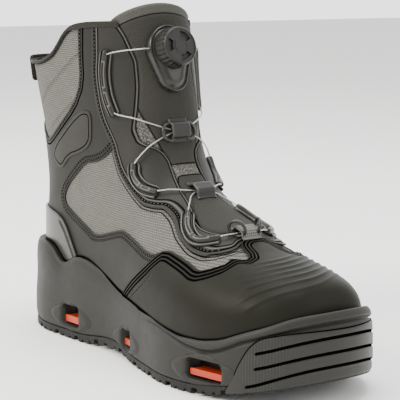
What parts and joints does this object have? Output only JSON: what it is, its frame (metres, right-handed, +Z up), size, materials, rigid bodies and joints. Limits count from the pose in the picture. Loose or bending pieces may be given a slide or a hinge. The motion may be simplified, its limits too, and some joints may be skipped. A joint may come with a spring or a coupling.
{
  "type": "wading boot",
  "caption": "Ankle-high wading boot for the right foot with a dial lace closure, thick midsole, toe bumper and lugged outsole, standing empty.",
  "frame": {"origin": "middle of the footprint's bounding box, on the ground under the sole", "axes": "+Z up, toe towards -Y, heel towards +Y, lateral side towards -X"},
  "size_m": [0.1224, 0.3264, 0.242],
  "materials": {
    "upper_fabric": "matt woven mesh with smooth coated overlays",
    "vamp_skin": "satin coated synthetic leather",
    "counter_plastic": "semi-gloss moulded",
    "webbing": "woven webbing",
    "midsole_foam": "matt moulded foam",
    "bumper_rubber": "satin moulded rubber",
    "outsole_rubber": "matt lugged rubber",
    "insole_fabric": "brushed fabric on foam",
    "tongue_fabric": "padded coated fabric",
    "dial_plastic": "satin moulded",
    "plug_plastic": "satin bright orange moulded",
    "guide_plastic": "satin moulded",
    "lace_wire": "fine coated steel cable"
  },
  "bodies": {
    "root": {"upper": "upper_fabric", "vamp_overlay": "vamp_skin", "heel_counter": "counter_plastic", "heel_tab": "webbing", "midsole": "midsole_foam", "toe_bumper": "bumper_rubber", "outsole": "outsole_rubber", "insole": "insole_fabric", "tongue": "tongue_fabric", "dial_housing": "dial_plastic", "dial_knob": "dial_plastic", "outsole_plug_heel_lateral": "plug_plastic", "outsole_plug_heel_medial": "plug_plastic", "outsole_plug_waist_lateral": "plug_plastic", "outsole_plug_waist_medial": "plug_plastic", "outsole_plug_ball_lateral": "plug_plastic", "outsole_plug_ball_medial": "plug_plastic", "lace_guide_shaft_lateral": "guide_plastic", "lace_guide_shaft_medial": "guide_plastic", "lace_guide_instep_lateral": "guide_plastic", "lace_guide_instep_medial": "guide_plastic", "lace_guide_forefoot_lateral": "guide_plastic", "lace_guide_forefoot_medial": "guide_plastic", "tongue_strap_upper": "webbing", "tongue_strap_lower": "webbing", "toe_loop": "webbing", "lace_cross_upper": "lace_wire", "lace_cross_lower": "lace_wire", "lace_toe": "lace_wire", "lace_top_lateral": "lace_wire", "lace_top_medial": "lace_wire"}
  },
  "joints": []
}
